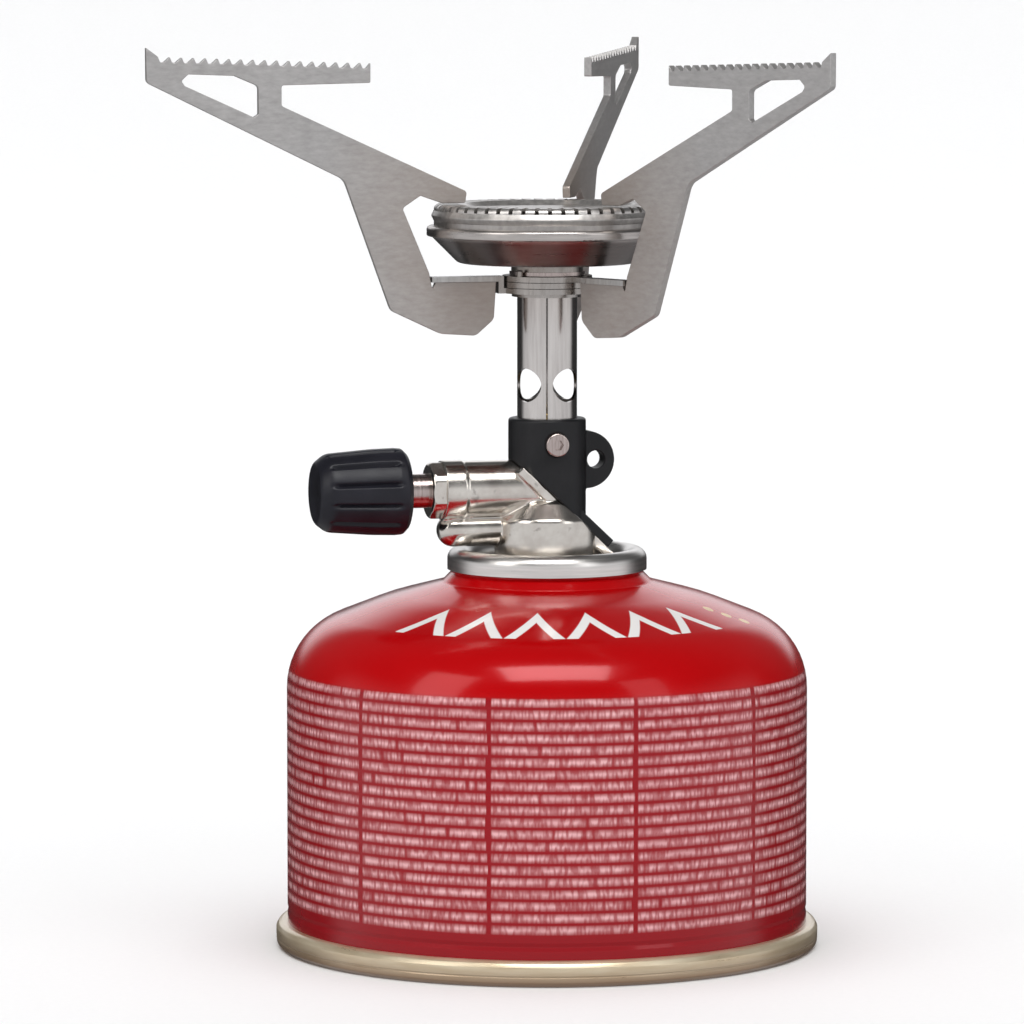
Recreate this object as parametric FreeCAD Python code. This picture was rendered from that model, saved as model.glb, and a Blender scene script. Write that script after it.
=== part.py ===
import FreeCAD, Part
import math
import os
from FreeCAD import Vector

# Canister stove: a small folding burner screwed on a gas cartridge.
# Millimetres. +Z is up, the origin is the centre of the cartridge's foot, and the valve knob points to -X.
# A size that others lean on is written once as a number, and the others are written from it.

# ---- Fits and clearances ----
run_gap = 0.06          # radial running clearance of a shaft, ring or thread
face_gap = 0.1          # axial gap between faces that turn on each other
safe_gap = 0.3          # gap between pieces that pass each other freely
soft_edge = 0.3         # rounding of moulded rubber and plastic edges
overrun = 1.0           # how far a cutting tool runs past the face it cuts

# ---- Cartridge ----
can_r = 43.6            # outside of the can's wall
can_h = 65.0            # foot to the top of the can's upright lip
can_wall = 0.5
corner_z = can_h - 12.6         # where wall and shoulder lines would meet
corner_round = 13.0
dome_mid_r = can_r - 16.6       # the shoulder gets flatter inside this radius
dome_mid_z = can_h - 6.1
dome_round = 40.0
lip_r = 16.0                    # outside of the can's upright lip
lip_bend_z = can_h - 2.0
lip_round = 0.8
neck_foot_r = lip_r + 1.6       # the shoulder turns up here
neck_foot_z = can_h - 3.65
neck_foot_round = 1.2
seam_r = can_r + 1.9            # rolled seam ring at the foot
seam_h = 4.2
seam_top_round = 1.1
seam_foot_round = 1.2
seam_groove_z = 1.2             # the can's wall ends here, inside the seam
chuck_r = can_r - 1.2           # inner wall of the seam ring
chuck_round = 0.9
dish_edge_z = 3.4               # underside of the foot's dish at its edge
dish_mid_r = chuck_r - 16.4
dish_mid_z = 6.6
dish_z = 8.6                    # underside of the dish at the centre
dish_round = 90.0
dish_wall = 0.7

# ---- Valve cup and self-sealing valve ----
thread_r = 5.55                 # 7/16 inch neck thread, outside
curl_r = lip_r + 0.7            # outside of the cup's curl
curl_top_z = can_h + 1.95
curl_end_z = can_h - 1.6
cup_r = lip_r - 3.0             # inside of the recess round the neck
cup_wall = 0.4
cup_floor_z = can_h - 6.4
cup_floor_round = 1.0
pedestal_r = thread_r + 2.05
pedestal_top_r = thread_r + 1.35
pedestal_z = can_h - 3.0
pedestal_round = 0.6
neck_top_z = can_h + 4.6
neck_bottom_z = can_h - 5.0
neck_cavity_r = thread_r - 1.25
neck_roof = 1.2
neck_mouth_r = 2.2
neck_chamfer = 0.5
stem_gasket_h = 1.1
nipple_r = 1.4                  # the stem's upper nose
nipple_recess_r = 0.9
nipple_recess_deep = 0.4
nipple_top_z = neck_top_z - 1.6
stem_r = neck_cavity_r - 1.1
stem_drop = 1.3                 # how far the stove's pin holds the stem down
stem_h = 3.0
insert_floor_z = can_h - 9.8    # plastic housing under the stem
insert_wall = 0.7
insert_flange_t = 1.0
insert_top_z = neck_bottom_z + 1.6
dip_hole_r = 0.6
gasket_w = 1.3                  # seal under the cup's curl
gasket_h = 1.5
gasket_rise = 0.6               # the seal stands this far above the lip
spring_wire_r = 0.35
spring_turns = 5

# ---- Valve spindle ----
spindle_r = 2.85
spindle_neck_r = spindle_r - 0.95
spindle_neck_x = -8.0
spindle_land = 1.5              # full-size land between the neck and the gas way
spindle_oring_x = -14.0
spindle_oring_w = 1.5
seat_x = -3.0
needle_len = 2.2
needle_lead = 0.4
needle_open = 0.2               # the needle's tip stands off its seat by this much
needle_tip_r = 0.35

# ---- Stove body ----
hub_r = thread_r + 3.3
hub_bottom_z = can_h - 2.4
hub_edge = 0.4
hub_shoulder_z = can_h + 7.0
hub_shoulder_round = 1.2
hub_top_r = 6.0
hub_top_z = can_h + 10.0
hub_top_round = 1.0
hub_roof_z = neck_top_z + 0.7
oring_z = hub_bottom_z + 0.7    # seal ring round the cartridge's neck
oring_h = 1.4
oring_w = 1.4
oring_round = 0.6
pin_r = 0.9                     # pin that presses the cartridge's valve
pin_bore_r = 1.6
pin_holder_h = 1.6
pin_gas_hole_r = 0.25
barrel_r = spindle_r + 2.0
barrel_z = can_h + 7.0 + barrel_r       # axis of the valve barrel
barrel_end_x = -18.3
barrel_step_x = -14.8           # the barrel has a slightly larger end collar
barrel_collar_r = barrel_r + 0.2
lobe_r = 2.8                    # rounded boss under the barrel
lobe_z = can_h + 5.2
lobe_end_x = -16.2
web_half = 1.6
web_end_x = lobe_end_x + 1.0
flange_high = (-5.45, barrel_z + 4.05)   # (x, z) of the sloping seat's two ends
flange_low = (10.15, can_h + 1.2)
flange_t = 1.5
flange_half = 5.6
wedge_half = 3.4
wedge_inner_x = -2.0            # the wedge under the seat runs from here
wedge_foot_z = can_h
wedge_lead = 2.0
slot_len = 4.4                  # long mark in the seat's side
slot_h = 1.1
slot_deep = 0.7
slot_back = 3.52                # the mark lies this far up from the seat's middle
post_r = 3.4
post_top_z = barrel_z + 9.15
gas_r = 1.0
filter_r = 1.5
filter_h = 1.0
filter_edge = 0.2
jet_seat_r = 2.4
jet_seat_z = post_top_z - 1.8
jet_hex_flats = 5.4
jet_hex_h = 1.6
jet_nose_h = 2.0
jet_nose_r = 1.6
jet_nose_foot_r = 2.1
jet_wall = 0.8                  # metal left over the wide bore
jet_hole_r = 0.15

# ---- Gland nut and knob ----
gland_x = -20.6                 # outer face of the gland nut
gland_flats = 2 * spindle_r + 3.1
gland_corner_r = spindle_r + 1.85
gland_edge = 0.7
gland_spigot_r = spindle_r + 0.9
gland_spigot_len = 2.4
knob_x = -24.4                  # inner face of the knob
knob_len = 15.5
knob_r = 7.25
knob_lip = 0.5
knob_end_r = 6.3
knob_end_swell = 0.3
knob_cap_r = 5.1
knob_skirt = 1.8
knob_round = 1.9
knob_cap_round = 1.3
knob_flutes = 12
flute_r = 1.25
flute_depth = 0.75
knob_bore_len = 9.0
knob_flat = 0.8                 # the spindle's driving flat

# ---- Burner column ----
tube_r = 5.0
tube_wall = 0.5
tube_seat_z = barrel_z + 4.45
tube_slit = 0.3                 # the rolled tube's butt seam
slit_azimuth = -105.0
air_hole_z = barrel_z + 17.45
air_hole_r = 2.8
air_hole_azimuths = (-150.0, -60.0, 30.0, 120.0)
sleeve_r = tube_r + 1.5
sleeve_top_z = barrel_z + 11.85
sleeve_edge = 0.5
sleeve_foot_x = 9.3
sleeve_foot_half = 4.4
sleeve_foot_t = 1.6
sleeve_foot_back = 3.0          # the foot starts this far down the seat
lug_x = sleeve_r - 0.1
lug_z = barrel_z + 4.75
lug_r = 4.8
lug_t = 3.6
eye_x = lug_x + 1.6
eye_r = 1.5
screw_z = barrel_z + 7.75
screw_head_r = 2.0
screw_head_h = 1.3
screw_edge = 0.35
screw_seat_y = sleeve_r - 0.4
screw_r = 1.0
socket_r = 0.95
socket_deep = 0.7

# ---- Swivel rings ----
ring_t = 0.9
ring_r = tube_r + 2.5
stack_z = barrel_z + 32.75      # underside of the lowest ring
ledge_r = tube_r + 0.9
ledge_t = 0.6
clip_r = tube_r + 1.3
clip_t = 0.6
clip_gap = 1.6
clip_gap_azimuth = 150.0
joggle_r = ring_r + 0.25        # a lower ring's finger steps up here
rivet_r = 0.5
rivet_h = 1.1
rivet_edge = 0.25
rivet_azimuth = -145.0
finger_w = 2.4

# ---- Burner head ----
rim_r = 20.1                    # the pan's rim, the burner's widest part
collar_r = tube_r + 1.0
collar_flange_r = tube_r + 2.6
collar_flange_t = 0.9
pan_z = stack_z + 3 * (ring_t + face_gap) + 2.0     # underside of the pan
pan_wall = 0.6
pan_floor_r = rim_r - 5.2
pan_floor_round = 1.4
pan_cone_r = rim_r - 0.7
pan_cone_z = pan_z + 4.5
rim_top_z = pan_z + 6.2
rim_round = 0.62
tube_top_z = pan_z + 1.4
cap_r = rim_r - 1.2
cap_top_z = pan_z + 9.8
cap_edge = 0.9
cap_dish_z = cap_top_z - 0.8
cap_dish_r = cap_r - 5.7
cap_dish_slope = 1.0
cap_bead = 0.45
cap_bead_z = cap_top_z - 1.9
cap_wall = 0.6
port_count = 54
port_w = 0.7
port_h = 1.3
port_floor_z = cap_top_z - 0.95
port_inner_r = cap_r - 4.1
gauze_z = pan_z + 6.5
gauze_t = 0.4
spreader_z = pan_z + 3.2
spreader_t = 0.6
spreader_leg_r = 0.7
spreader_leg_at = collar_flange_r + 1.4
spreader_r = spreader_leg_at + 1.0
spreader_legs = 3

# ---- Arms ----
# Heights on an arm are counted from the level of the ring fingers that carry it.
arm_t = 1.3
arm_azimuths = {"left": 180.0, "back": 62.0, "right": -63.0}
finger_r = rim_r - 0.1
arm_inner_r = ring_r + 1.4
bar_inner = (30.3, 36.4)        # (r, height) of the toothed bar's ends
bar_outer = (66.3, 37.7)
bar_depth = 3.3
arm_tip = (67.95, 39.1)
arm_tip_low = (67.9, 33.4)
tooth_count = 18
tooth_h = 0.95
tooth_valley_at = 0.35          # where a tooth's valley starts, as a share of the pitch
tooth_valley_w = 0.3
tooth_flank_w = 0.2
hook_h = cap_top_z + 0.3 - (stack_z + 2 * (ring_t + face_gap))
hook_tip_r = rim_r - 6.2

Z_AXIS = Vector(0, 0, 1)
X_AXIS = Vector(1, 0, 0)
Y_AXIS = Vector(0, 1, 0)
ORIGIN = Vector(0, 0, 0)


# ---- Small drawing helpers ----
def at(x, z):
    """A point of an outline, which is drawn in the XZ plane."""
    return Vector(x, 0, z)


def rounded_wire(corners):
    """Closed outline in the XZ plane. A corner is (x, z) or (x, z, rounding radius)."""
    joints = []
    for i, corner in enumerate(corners):
        here = at(corner[0], corner[1])
        radius = corner[2] if len(corner) > 2 else 0
        if radius <= 0:
            joints.append((here, None, here))
            continue
        following = corners[(i + 1) % len(corners)]
        back = (at(corners[i - 1][0], corners[i - 1][1]) - here).normalize()
        ahead = (at(following[0], following[1]) - here).normalize()
        half = back.getAngle(ahead) / 2
        setback = radius / math.tan(half)
        inward = (back + ahead).normalize()
        middle = here + inward * (radius / math.sin(half) - radius)
        joints.append((here + back * setback, middle, here + ahead * setback))
    edges = []
    for i, (start, middle, end) in enumerate(joints):
        if middle is not None:
            edges.append(Part.Arc(start, middle, end).toShape())
        next_start = joints[(i + 1) % len(joints)][0]
        if (next_start - end).Length > 1e-5:
            edges.append(Part.LineSegment(end, next_start).toShape())
    return Part.Wire(edges)


def turned(corners):
    """Solid of revolution about Z, from corners (r, z) or (r, z, rounding radius)."""
    return Part.Face(rounded_wire(corners)).revolve(ORIGIN, Z_AXIS, 360)


def offset_path(path, gap):
    """An open path moved sideways by gap to the left of its direction."""
    lefts = []
    for start, end in zip(path, path[1:]):
        run = (at(end[0], end[1]) - at(start[0], start[1])).normalize()
        lefts.append(Vector(-run.z, 0, run.x))
    moved = []
    for i, corner in enumerate(path):
        before = lefts[max(i - 1, 0)]
        after = lefts[min(i, len(lefts) - 1)]
        shift = (before + after) * (gap / (1 + before.dot(after)))
        radius = corner[2] if len(corner) > 2 else 0
        if radius:
            turns_left = before.cross(after).y < 0
            radius = max(radius - gap if turns_left else radius + gap, 0.05)
        moved.append((corner[0] + shift.x, corner[1] + shift.z, radius))
    return moved


def pressed_sheet(path, wall):
    """Turned sheet metal: path is the side on the right hand, and wall is added on the left."""
    return turned(list(path) + offset_path(path, wall)[::-1])


def rod(radius, length, start, direction=Z_AXIS):
    return Part.makeCylinder(radius, length, start, direction)


def tube(outer, inner, length, z):
    return rod(outer, length, Vector(0, 0, z)).cut(rod(inner, length, Vector(0, 0, z)))


def plate_xz(corners, thickness, y_middle=0.0):
    """Flat plate with an XZ outline, thickness along Y, centred on y_middle."""
    face = Part.Face(rounded_wire(corners))
    face.translate(Vector(0, y_middle - thickness / 2, 0))
    return face.extrude(Vector(0, thickness, 0))


def hex_rod(flats, length, start, direction):
    """Hexagonal bar along direction."""
    corner = flats / math.sqrt(3)
    points = [Vector(corner * math.cos(math.radians(60 * k)), corner * math.sin(math.radians(60 * k)), 0)
              for k in range(7)]
    bar = Part.Face(Part.makePolygon(points)).extrude(Vector(0, 0, length))
    bar.Placement = FreeCAD.Placement(start, FreeCAD.Rotation(Z_AXIS, direction))
    return bar


def spun(shape, azimuth):
    turned_copy = shape.copy()
    turned_copy.rotate(ORIGIN, Z_AXIS, azimuth)
    return turned_copy


def onto_barrel(shape, x):
    """Moves a piece drawn along +Z from z = 0 so that it runs along -X from x on the barrel's axis."""
    placed = shape.copy()
    placed.rotate(ORIGIN, Y_AXIS, -90)
    placed.translate(Vector(x, 0, barrel_z))
    return placed


def save(node, shape):
    solids = shape.removeSplitter().Solids
    result = solids[0] if len(solids) == 1 else Part.makeCompound(solids)
    result.exportStep(os.path.join("parts", node + ".step"))
    print(f"{node}: {len(solids)} solid, {result.Volume:.1f} mm3, valid {result.isValid()}")


# ---- Cartridge ----
def canister_shell():
    outside = [(can_r, seam_groove_z),
               (can_r, corner_z, corner_round),
               (dome_mid_r, dome_mid_z, dome_round),
               (neck_foot_r, neck_foot_z, neck_foot_round),
               (lip_r, lip_bend_z, lip_round),
               (lip_r, can_h)]
    return pressed_sheet(outside, can_wall)


def canister_base():
    wall_inside = can_r - can_wall
    under = [(chuck_r, dish_edge_z, chuck_round), (dish_mid_r, dish_mid_z, dish_round), (0, dish_z)]
    upper = [(0, dish_z + dish_wall), (dish_mid_r, dish_mid_z + dish_wall, dish_round),
             (wall_inside, dish_edge_z + dish_wall, 0.5)]
    ring = [(wall_inside, seam_groove_z), (can_r, seam_groove_z), (can_r, seam_h),
            (seam_r, seam_h, seam_top_round), (seam_r, 0, seam_foot_round), (chuck_r, 0, 0.8)]
    return turned(under + upper + ring)


def valve_cup():
    curl_round = (curl_r - cup_r) / 2 - 0.01
    top_side = [(curl_r, curl_end_z),
                (curl_r, curl_top_z, curl_round),
                (cup_r, curl_top_z, curl_round),
                (cup_r, cup_floor_z, cup_floor_round),
                (pedestal_r, cup_floor_z, pedestal_round),
                (pedestal_top_r, pedestal_z, pedestal_round),
                (thread_r, pedestal_z)]
    return pressed_sheet(top_side, cup_wall)


def cup_gasket():
    outer = lip_r - can_wall
    inner = outer - gasket_w
    top = can_h + gasket_rise
    bottom = top - gasket_h
    return turned([(inner, bottom, soft_edge), (outer, bottom, soft_edge),
                   (outer, top, soft_edge), (inner, top, soft_edge)])


def valve_neck():
    roof_z = neck_top_z - neck_roof
    return turned([(neck_cavity_r, neck_bottom_z), (thread_r, neck_bottom_z),
                   (thread_r, neck_top_z - neck_chamfer), (thread_r - neck_chamfer, neck_top_z),
                   (neck_mouth_r, neck_top_z), (neck_mouth_r, roof_z), (neck_cavity_r, roof_z)])


def stem_gasket():
    roof_z = neck_top_z - neck_roof
    return tube(neck_cavity_r, nipple_r + run_gap, stem_gasket_h, roof_z - stem_gasket_h)


def stem_shoulder_z():
    """Top of the stem's wide part while the stove's pin holds it down."""
    return neck_top_z - neck_roof - stem_gasket_h - stem_drop


def valve_stem():
    top = stem_shoulder_z()
    recess_z = nipple_top_z - nipple_recess_deep
    return turned([(0, top - stem_h), (stem_r, top - stem_h, soft_edge), (stem_r, top, soft_edge),
                   (nipple_r, top), (nipple_r, nipple_top_z), (nipple_recess_r, nipple_top_z),
                   (nipple_recess_r, recess_z), (0, recess_z)])


def valve_insert():
    inner = neck_cavity_r - insert_wall
    floor_top = insert_floor_z + insert_wall
    flange_z = neck_bottom_z - insert_flange_t
    return turned([(dip_hole_r, insert_floor_z), (neck_cavity_r, insert_floor_z, soft_edge),
                   (neck_cavity_r, flange_z), (thread_r, flange_z, soft_edge),
                   (thread_r, neck_bottom_z), (neck_cavity_r, neck_bottom_z),
                   (neck_cavity_r, insert_top_z), (inner, insert_top_z), (inner, floor_top),
                   (dip_hole_r, floor_top)])


def valve_spring():
    low = insert_floor_z + insert_wall + spring_wire_r
    high = stem_shoulder_z() - stem_h - spring_wire_r
    coil_r = neck_cavity_r - insert_wall - safe_gap - spring_wire_r
    helix = Part.makeHelix((high - low) / spring_turns, high - low, coil_r)
    helix.translate(Vector(0, 0, low))
    section = Part.Wire(Part.makeCircle(spring_wire_r, Vector(coil_r, 0, low), Y_AXIS))
    return Part.Wire(helix).makePipeShell([section], True, True)


# ---- Stove body ----
def slope():
    """Unit vectors down the sloping seat and out of its upper face."""
    down = (at(*flange_low) - at(*flange_high)).normalize()
    return down, Vector(-down.z, 0, down.x)


def below_seat(depth):
    """Outline corners of the space under the sloping seat, depth deep."""
    down, up = slope()
    high = at(*flange_high)
    low = at(*flange_low)
    return [(p.x, p.z) for p in (high, low, low - up * depth, high - up * depth)]


def above_seat_block():
    """A block over the sloping seat, which cuts away or keeps what stands on it."""
    down, up = slope()
    reach = can_h
    high = at(*flange_high) - down * reach
    low = at(*flange_low) + down * reach
    corners = [(p.x, p.z) for p in (high, low, low + up * reach, high + up * reach)]
    return plate_xz(corners, reach)


def stove_body():
    hub = turned([(0, hub_bottom_z), (hub_r, hub_bottom_z, hub_edge), (hub_r, hub_shoulder_z, hub_shoulder_round),
                  (hub_top_r, hub_top_z, hub_top_round), (0, hub_top_z)])
    barrel = rod(barrel_r, -barrel_end_x, Vector(barrel_end_x, 0, barrel_z), X_AXIS)
    collar_len = barrel_step_x - barrel_end_x
    collar = rod(barrel_collar_r, collar_len, Vector(barrel_end_x, 0, barrel_z), X_AXIS)
    lobe = rod(lobe_r, -lobe_end_x, Vector(lobe_end_x, 0, lobe_z), X_AXIS)
    lobe_end = Part.makeSphere(lobe_r, Vector(lobe_end_x, 0, lobe_z))
    web = plate_xz([(web_end_x, lobe_z), (0, lobe_z), (0, barrel_z), (web_end_x, barrel_z)], 2 * web_half)
    wedge_corners = [flange_high, flange_low, (hub_top_r, wedge_foot_z), (wedge_inner_x, wedge_foot_z),
                     (wedge_inner_x, barrel_z), (flange_high[0] - wedge_lead, barrel_z)]
    wedge = plate_xz(wedge_corners, 2 * wedge_half)
    seat = plate_xz(below_seat(flange_t), 2 * flange_half)
    body = hub.fuse([barrel, collar, lobe, lobe_end, web, wedge]).cut(above_seat_block())
    body = body.fuse(seat)
    post = rod(post_r, post_top_z - barrel_z, Vector(0, 0, barrel_z))
    body = body.fuse(post)
    return body.cut(stove_body_passages())


def stove_body_passages():
    thread_bore = rod(thread_r + run_gap, hub_roof_z - hub_bottom_z, Vector(0, 0, hub_bottom_z))
    groove = tube(thread_r + oring_w + run_gap, thread_r / 2, oring_h + 2 * face_gap, oring_z - face_gap)
    inlet = rod(pin_bore_r, pin_holder_h + filter_h, Vector(0, 0, hub_roof_z))
    riser_z = hub_roof_z + pin_holder_h + filter_h
    riser = rod(gas_r, barrel_z - riser_z, Vector(spindle_neck_x, 0, riser_z))
    feed = rod(gas_r, -spindle_neck_x, Vector(spindle_neck_x, 0, riser_z), X_AXIS)
    chamber_len = seat_x - needle_len - barrel_end_x
    chamber = rod(spindle_r + run_gap, chamber_len, Vector(barrel_end_x, 0, barrel_z), X_AXIS)
    outlet = rod(gas_r, -seat_x + needle_len, Vector(seat_x - needle_len, 0, barrel_z), X_AXIS)
    rise = rod(gas_r, jet_seat_z - barrel_z, Vector(0, 0, barrel_z))
    jet_seat = rod(jet_seat_r, post_top_z - jet_seat_z, Vector(0, 0, jet_seat_z))
    spigot = rod(gland_spigot_r, gland_spigot_len, Vector(barrel_end_x, 0, barrel_z), X_AXIS)
    down, up = slope()
    slot_middle = (at(*flange_high) + at(*flange_low)) * 0.5 - up * (flange_t + slot_h) - down * slot_back
    start = slot_middle - down * slot_len / 2
    end = slot_middle + down * slot_len / 2
    slot_corners = [(p.x, p.z, slot_h * 0.4) for p in (start, end, end + up * slot_h, start + up * slot_h)]
    slots = [plate_xz(slot_corners, slot_deep, side * (wedge_half - slot_deep / 2)) for side in (-1, 1)]
    return thread_bore.fuse([groove, inlet, riser, feed, chamber, outlet, rise, jet_seat, spigot] + slots)


def neck_oring():
    inner = thread_r + run_gap
    outer = thread_r + oring_w
    top = oring_z + oring_h
    return turned([(inner, oring_z, oring_round), (outer, oring_z, oring_round),
                   (outer, top, oring_round), (inner, top, oring_round)])


def valve_pin():
    """Pin that opens the cartridge's valve: a drilled head pressed in the hub, and a nose below it."""
    tip = nipple_top_z + face_gap
    top = hub_roof_z + pin_holder_h
    pin = turned([(0, tip), (pin_r, tip, 0.2), (pin_r, hub_roof_z), (pin_bore_r, hub_roof_z),
                  (pin_bore_r, top), (0, top)])
    gas_hole = rod(pin_gas_hole_r, pin_holder_h, Vector((pin_r + pin_bore_r) / 2, 0, hub_roof_z))
    return pin.cut([spun(gas_hole, azimuth) for azimuth in (0, 120, 240)])


def inlet_filter():
    low = hub_roof_z + pin_holder_h
    high = low + filter_h - face_gap
    return turned([(0, low), (filter_r, low), (filter_r, high, filter_edge), (0, high)])


def jet():
    shank = rod(jet_seat_r, post_top_z - jet_seat_z, Vector(0, 0, jet_seat_z))
    head = hex_rod(jet_hex_flats, jet_hex_h, Vector(0, 0, post_top_z), Z_AXIS)
    nose_z = post_top_z + jet_hex_h
    tip_z = nose_z + jet_nose_h
    nose = turned([(0, nose_z), (jet_nose_foot_r, nose_z), (jet_nose_r, tip_z, 0.5), (0, tip_z)])
    bore = rod(gas_r, tip_z - jet_wall - jet_seat_z, Vector(0, 0, jet_seat_z))
    hole = rod(jet_hole_r, jet_nose_h + overrun, Vector(0, 0, nose_z))
    return shank.fuse([head, nose]).cut(bore.fuse(hole))


# ---- Valve spindle and knob ----
def spindle():
    """Drawn from its knob end at z = 0 of its own axis towards the needle's tip."""
    outer_end = knob_x - knob_bore_len
    length = seat_x - outer_end
    shoulder = spindle_neck_x - outer_end - spindle_land
    oring_low = spindle_oring_x - outer_end
    needle_root = length - needle_len - needle_lead
    tip = length - needle_open
    shaft = turned([(0, 0), (spindle_r, 0, soft_edge), (spindle_r, oring_low),
                    (spindle_neck_r, oring_low), (spindle_neck_r, oring_low + spindle_oring_w),
                    (spindle_r, oring_low + spindle_oring_w), (spindle_r, shoulder),
                    (spindle_neck_r, shoulder), (spindle_neck_r, needle_root),
                    (gas_r - run_gap, needle_root), (needle_tip_r, tip), (0, tip)])
    flat = Part.makeBox(2 * spindle_r, 2 * spindle_r, knob_bore_len,
                        Vector(spindle_r - knob_flat, -spindle_r, 0))
    shaft = shaft.cut(flat)
    shaft.rotate(ORIGIN, Y_AXIS, 90)
    shaft.translate(Vector(outer_end, 0, barrel_z))
    return shaft


def spindle_oring():
    inner = spindle_neck_r + run_gap
    outer = spindle_r + run_gap / 2
    edge = (outer - inner) / 2 - 0.05
    width = spindle_oring_w - 2 * face_gap
    ring = turned([(inner, 0, edge), (outer, 0, edge), (outer, width, edge), (inner, width, edge)])
    return onto_barrel(ring, spindle_oring_x + face_gap + width)


def gland_nut():
    thick = barrel_end_x - gland_x
    nut = hex_rod(gland_flats, thick, ORIGIN, Z_AXIS)
    dome = turned([(0, 0), (gland_corner_r, 0), (gland_corner_r, thick, gland_edge), (0, thick)])
    nut = nut.common(dome)
    spigot = rod(gland_spigot_r, gland_spigot_len - face_gap, Vector(0, 0, -gland_spigot_len + face_gap))
    bore = rod(spindle_r + run_gap, thick + gland_spigot_len, Vector(0, 0, -gland_spigot_len))
    return onto_barrel(nut.fuse(spigot).cut(bore), barrel_end_x)


def control_knob():
    body = turned([(0, 0), (knob_r - knob_lip, 0, 0.2), (knob_r, knob_lip, 0.2), (knob_r, knob_skirt, 0.4),
                   (knob_end_r + knob_end_swell, knob_len - knob_round, 3.0),
                   (knob_cap_r, knob_len, knob_cap_round), (0, knob_len)])
    taper = math.degrees(math.atan2(knob_r - knob_end_r, knob_len))
    start_r = knob_r - flute_depth + flute_r
    flute = rod(flute_r, knob_len + overrun, Vector(start_r, 0, knob_skirt))
    flute.rotate(Vector(start_r, 0, knob_skirt), Y_AXIS, -taper)
    flutes = [spun(flute, 360.0 * k / knob_flutes) for k in range(knob_flutes)]
    bore = rod(spindle_r, knob_bore_len, ORIGIN)
    flat = Part.makeBox(2 * spindle_r, 2 * spindle_r, knob_bore_len, Vector(spindle_r - knob_flat, -spindle_r, 0))
    flat.rotate(ORIGIN, Z_AXIS, 180)
    return onto_barrel(body.cut(flutes).cut(bore.cut(flat)), knob_x)


# ---- Burner column ----
def burner_sleeve():
    down, up = slope()
    column = turned([(0, hub_bottom_z), (sleeve_r, hub_bottom_z), (sleeve_r, sleeve_top_z, sleeve_edge),
                     (0, sleeve_top_z)])
    lug = rod(lug_r, lug_t, Vector(lug_x, -lug_t / 2, lug_z), Y_AXIS)
    foot_start = at(*flange_high) + down * sleeve_foot_back
    reach = (sleeve_foot_x - foot_start.x) / down.x
    foot_end = foot_start + down * reach
    foot_corners = [foot_start, foot_end, foot_end + up * sleeve_foot_t, foot_start + up * sleeve_foot_t]
    foot = plate_xz([(p.x, p.z) for p in foot_corners], 2 * sleeve_foot_half)
    sleeve = column.fuse([lug, foot]).common(above_seat_block())
    bore = rod(tube_r, sleeve_top_z - tube_seat_z, Vector(0, 0, tube_seat_z))
    post_hole = rod(post_r, tube_seat_z - hub_bottom_z, Vector(0, 0, hub_bottom_z))
    eye = rod(eye_r, 2 * lug_t, Vector(eye_x, -lug_t, lug_z), Y_AXIS)
    pocket = rod(screw_head_r, sleeve_r, Vector(0, -screw_seat_y - sleeve_r, screw_z), Y_AXIS)
    screw_hole = rod(screw_r, screw_seat_y, Vector(0, -screw_seat_y, screw_z), Y_AXIS)
    return sleeve.cut([bore, post_hole, eye, pocket, screw_hole])


def clamp_screw():
    head = rod(screw_head_r, screw_head_h, Vector(0, -screw_seat_y, screw_z), Y_AXIS * -1)
    outer_y = -screw_seat_y - screw_head_h
    head = head.makeFillet(screw_edge, [edge for edge in head.Edges if edge.BoundBox.YMax < outer_y + run_gap])
    shank = rod(screw_r, screw_seat_y - tube_r + tube_wall, Vector(0, -screw_seat_y, screw_z), Y_AXIS)
    socket = hex_rod(socket_r * math.sqrt(3), socket_deep, Vector(0, outer_y, screw_z), Y_AXIS)
    return head.fuse(shank).cut(socket)


def burner_tube():
    body = tube(tube_r, tube_r - tube_wall, tube_top_z - tube_seat_z, tube_seat_z)
    cuts = []
    for azimuth in air_hole_azimuths:
        cuts.append(spun(rod(air_hole_r, 2 * tube_r, Vector(0, 0, air_hole_z), X_AXIS), azimuth))
    slit = Part.makeBox(2 * tube_r, tube_slit, tube_top_z, Vector(0, -tube_slit / 2, 0))
    cuts.append(spun(slit, slit_azimuth))
    cuts.append(rod(screw_r, tube_r * 2, Vector(0, -tube_r * 2, screw_z), Y_AXIS))
    return body.cut(cuts)


# ---- Swivel rings ----
def ring_level(index):
    """Underside of swivel ring 0, 1 or 2, counted from below."""
    return stack_z + index * (ring_t + face_gap)


def finger_level():
    return ring_level(2)


def tube_ledge():
    return tube(ledge_r, tube_r, ledge_t, stack_z - ledge_t)


def swivel_ring(index, side, bore):
    """Flat ring with one radial finger, which steps up to the common finger level."""
    z = ring_level(index)
    level = finger_level()
    inner = joggle_r
    if level > z:
        corners = [(0, z), (inner + ring_t, z), (inner + ring_t, level), (finger_r, level),
                   (finger_r, level + ring_t), (inner, level + ring_t), (inner, z + ring_t), (0, z + ring_t)]
    else:
        corners = [(0, z), (finger_r, z), (finger_r, z + ring_t), (0, z + ring_t)]
    finger = plate_xz(corners, finger_w)
    blank = rod(ring_r, ring_t, Vector(0, 0, z)).fuse(finger)
    hole = rod(bore, level + 2 * ring_t - z, Vector(0, 0, z))
    return spun(blank.cut(hole), arm_azimuths[side])


def stop_rivet():
    head = turned([(0, 0), (rivet_r, 0), (rivet_r, rivet_h, rivet_edge), (0, rivet_h)])
    head.translate(Vector(ring_r - rivet_r, 0, ring_level(2) + ring_t))
    return spun(head, rivet_azimuth)


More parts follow.
